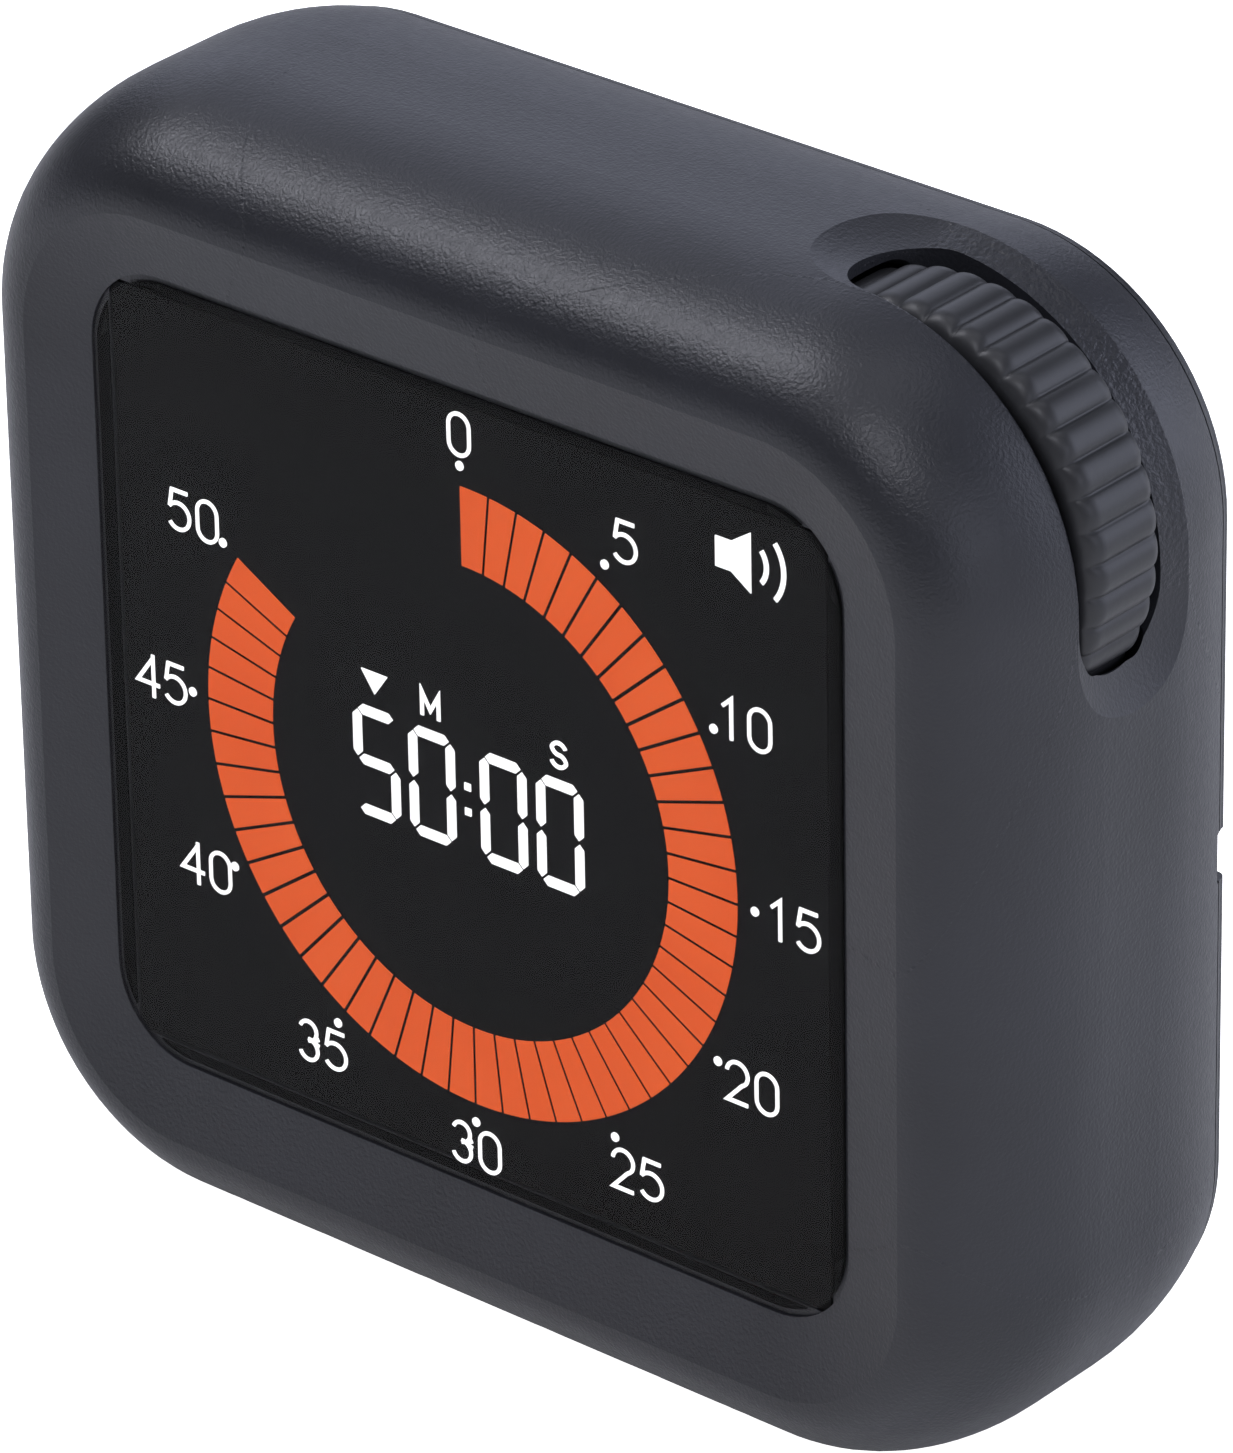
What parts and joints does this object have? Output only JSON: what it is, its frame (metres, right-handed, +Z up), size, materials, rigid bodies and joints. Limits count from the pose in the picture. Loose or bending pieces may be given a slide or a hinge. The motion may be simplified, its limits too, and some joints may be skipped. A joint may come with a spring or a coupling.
{
  "type": "kitchen timer",
  "caption": "Square countdown timer with a dark display window, a thumbwheel set in one top corner, and a magnetic back with a battery door.",
  "frame": {"origin": "middle of the flat strip under the casing, on the surface it stands on", "axes": "+X to the right of someone facing the display, +Y from the display to the back, +Z up"},
  "size_m": [0.0827, 0.0256, 0.0777],
  "materials": {
    "casing": "spark-eroded satin charcoal moulding",
    "casing_back": "spark-eroded satin charcoal moulding",
    "window_glass": "clear gloss sheet over a dark display",
    "black_tape": "thin black adhesive tape",
    "orange_ink": "lit orange display segments",
    "white_ink": "lit white display segments",
    "polariser": "neutral grey polarising film",
    "cell_glass": "clear display cell glass",
    "colour_film": "clear film printed with a colour ring",
    "white_plastic": "white moulding and film",
    "clear_plastic": "clear acrylic light guide",
    "soft_rubber": "silicone contact strip",
    "board_laminate": "green solder mask on glass laminate",
    "plated_steel": "zinc-plated steel",
    "black_steel": "black-oxide steel",
    "chip_epoxy": "black moulding epoxy",
    "grip_rubber": "dark grey overmoulded elastomer, satin",
    "foot_rubber": "black silicone pads",
    "inner_plastic": "black acetal moulding",
    "spring_steel": "nickel-plated spring steel",
    "brass_sheet": "rolled brass sheet",
    "buzzer_ceramic": "silvered piezo ceramic",
    "magnet": "nickel-plated magnet",
    "cell_can": "plain dark wrapped cell",
    "wire_sleeve": "insulated hook-up wire"
  },
  "bodies": {
    "case": {"front_housing": "casing", "rear_cover": "casing_back", "foot_pads": "foot_rubber", "display_window": "window_glass", "window_tape": "black_tape", "minute_bars": "orange_ink", "dial_dots": "white_ink", "dial_numerals": "white_ink", "time_digits": "white_ink", "speaker_icon": "white_ink", "front_polariser": "polariser", "lcd_front_glass": "cell_glass", "lcd_rear_glass": "cell_glass", "rear_polariser": "polariser", "colour_film": "colour_film", "diffuser_sheet": "white_plastic", "light_guide": "clear_plastic", "reflector_sheet": "white_plastic", "contact_strip": "soft_rubber", "backlight_leds": "white_plastic", "backlight_frame": "white_plastic", "main_board": "board_laminate", "board_screws": "plated_steel", "microcontroller": "chip_epoxy", "board_parts": "chip_epoxy", "carriage_guide": "inner_plastic", "guide_screws": "plated_steel", "return_spring": "spring_steel", "tact_switch": "chip_epoxy", "buzzer_disc": "brass_sheet", "buzzer_ceramic": "buzzer_ceramic", "magnets": "magnet", "cover_screws": "black_steel", "switch_board": "board_laminate", "switch_board_screws": "plated_steel", "volume_switch_body": "chip_epoxy", "battery_lower": "cell_can", "battery_upper": "cell_can", "positive_contacts": "spring_steel", "spring_contacts": "spring_steel", "battery_wires": "wire_sleeve", "buzzer_wires": "wire_sleeve", "switch_wires": "wire_sleeve"},
    "carriage": {"wheel_carriage": "inner_plastic", "encoder_body": "inner_plastic"},
    "wheel": {"thumbwheel_tyre": "grip_rubber", "thumbwheel_hub": "inner_plastic", "encoder_rotor": "inner_plastic"},
    "switch_plunger": {"switch_plunger": "inner_plastic"},
    "volume_slider": {"volume_slider": "inner_plastic"},
    "battery_door": {"battery_door": "casing_back"}
  },
  "joints": [
    {"name": "wheel_press", "type": "slide", "parent": "case", "child": "carriage", "axis": [-0.7071, 0, -0.7071], "range_m": [0, 0.0006], "stiffness_N_per_m": 1500, "springref_m": -0.0008, "deforming": ["return_spring"]},
    {"name": "thumbwheel_spin", "type": "hinge", "parent": "carriage", "child": "wheel", "pos_m": [0.0277, 0, 0.06315], "axis": [0, 1, 0], "continuous": true},
    {"name": "switch_plunger_press", "type": "slide", "parent": "case", "child": "switch_plunger", "axis": [-0.7071, 0, -0.7071], "range_m": [0, 0.0006]},
    {"name": "volume_slide", "type": "slide", "parent": "case", "child": "volume_slider", "axis": [1, 0, 0], "range_m": [-0.002, 0.002]},
    {"name": "battery_door_hinge", "type": "hinge", "parent": "case", "child": "battery_door", "pos_m": [0, 0.01205, 0.0059], "axis": [-1, 0, 0], "range_deg": [0, 75]}
  ],
  "couplings": [
    {"joint": "switch_plunger_press", "follows": "wheel_press", "ratio": 1}
  ]
}
